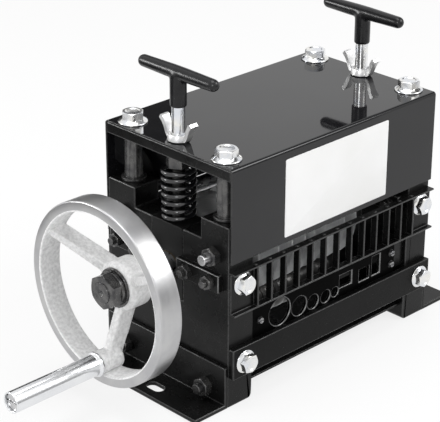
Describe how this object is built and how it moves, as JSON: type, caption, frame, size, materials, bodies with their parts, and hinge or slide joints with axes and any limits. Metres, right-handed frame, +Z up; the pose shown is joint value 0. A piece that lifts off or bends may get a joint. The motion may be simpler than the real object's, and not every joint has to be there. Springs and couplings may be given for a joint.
{
  "type": "drill-powered wire stripper",
  "caption": "Bench wire stripper: disc cutters on a hand-wheel or drill driven shaft over a feed roller, in a black frame with T-handled depth screws, springs, a feed plate and a finger guard.",
  "frame": {"origin": "on the bench, midway between the end plates and between their front and back faces", "axes": "+X along the cutter shaft away from the hand wheel, -Y the feed side, +Z up"},
  "size_m": [0.4018, 0.1516, 0.2473],
  "materials": {
    "black_powder": "satin black powder coat",
    "cover_black": "glossy black paint",
    "guard_black": "satin black paint",
    "bright_zinc": "bright zinc plate",
    "black_oxide": "black oxide",
    "spring_black": "glossy black",
    "bare_steel": "turned",
    "disc_steel": "ground",
    "cast_aluminium": "cast, rim turned",
    "grip_chrome": "polished",
    "bronze": "turned",
    "dipped_vinyl": "dipped, soft sheen",
    "block_iron": "machined"
  },
  "bodies": {
    "frame": {"end_plate_left": "black_powder", "end_plate_right": "black_powder", "top_plate": "black_powder", "cover_shell": "cover_black", "cover_posts": "black_powder", "top_bolts": "bright_zinc", "lift_nuts": "black_oxide", "front_tie_bar": "black_powder", "rear_tie_bar": "black_powder", "tie_bar_bolts": "bright_zinc", "tie_rods": "bare_steel", "tie_rod_nuts": "black_oxide", "finger_guard": "guard_black", "rear_guard": "guard_black", "guard_bolts": "bright_zinc", "feed_plate": "guard_black", "feed_brackets": "guard_black", "feed_screws": "bright_zinc", "chute_tray": "black_powder", "foot_left": "black_powder", "foot_right": "black_powder", "foot_studs": "black_oxide", "foot_nuts": "black_oxide", "keeper_bars": "black_powder", "keeper_studs": "black_oxide", "keeper_nuts": "black_oxide", "roller_bushes": "bronze", "spring_left": "spring_black", "spring_right": "spring_black"},
    "carriage": {"bearing_block_left": "block_iron", "bearing_block_right": "block_iron", "shaft_bushes": "bronze"},
    "cutter": {"blade_shaft": "bare_steel", "cutting_discs": "disc_steel", "disc_spacers": "bare_steel", "stop_collars": "black_oxide", "collar_screws": "black_oxide", "shaft_keys": "bare_steel", "wheel_tube": "bare_steel", "hand_wheel": "cast_aluminium", "hub_washer": "black_oxide", "hub_spring_washer": "black_oxide", "hub_nut": "black_oxide", "grip_spindle": "bare_steel"},
    "grip": {"crank_grip": "grip_chrome"},
    "roller": {"feed_roller": "bare_steel", "roller_axle": "bare_steel"},
    "left_screw": {"screw_left": "bright_zinc", "t_grip_left": "dipped_vinyl"},
    "right_screw": {"screw_right": "bright_zinc", "t_grip_right": "dipped_vinyl"},
    "left_wing": {"wing_nut_left": "bright_zinc"},
    "right_wing": {"wing_nut_right": "bright_zinc"}
  },
  "joints": [
    {"name": "left_screw_turn", "type": "hinge", "parent": "carriage", "child": "left_screw", "pos_m": [-0.098, 0, 0.2], "axis": [0, 0, 1], "range_deg": [0, 2525]},
    {"name": "right_screw_turn", "type": "hinge", "parent": "carriage", "child": "right_screw", "pos_m": [0.098, 0, 0.2], "axis": [0, 0, 1], "range_deg": [0, 2525]},
    {"name": "carriage_lift", "type": "slide", "parent": "frame", "child": "carriage", "axis": [0, 0, 1], "range_m": [0, 0.0105], "deforming": ["spring_left", "spring_right"]},
    {"name": "cutter_spin", "type": "hinge", "parent": "carriage", "child": "cutter", "pos_m": [0, 0, 0.094], "axis": [1, 0, 0], "continuous": true},
    {"name": "grip_spin", "type": "hinge", "parent": "cutter", "child": "grip", "pos_m": [-0.219, 0, 0.039], "axis": [1, 0, 0], "continuous": true},
    {"name": "roller_spin", "type": "hinge", "parent": "frame", "child": "roller", "pos_m": [0, 0, 0.0364], "axis": [1, 0, 0], "continuous": true},
    {"name": "left_wing_turn", "type": "hinge", "parent": "left_screw", "child": "left_wing", "pos_m": [-0.098, 0, 0.195], "axis": [0, 0, 1], "continuous": true},
    {"name": "right_wing_turn", "type": "hinge", "parent": "right_screw", "child": "right_wing", "pos_m": [0.098, 0, 0.195], "axis": [0, 0, 1], "continuous": true}
  ],
  "couplings": [
    {"joint": "left_screw_turn", "follows": "carriage_lift", "rad_per_m": 4188.8},
    {"joint": "right_screw_turn", "follows": "carriage_lift", "rad_per_m": 4188.8}
  ]
}
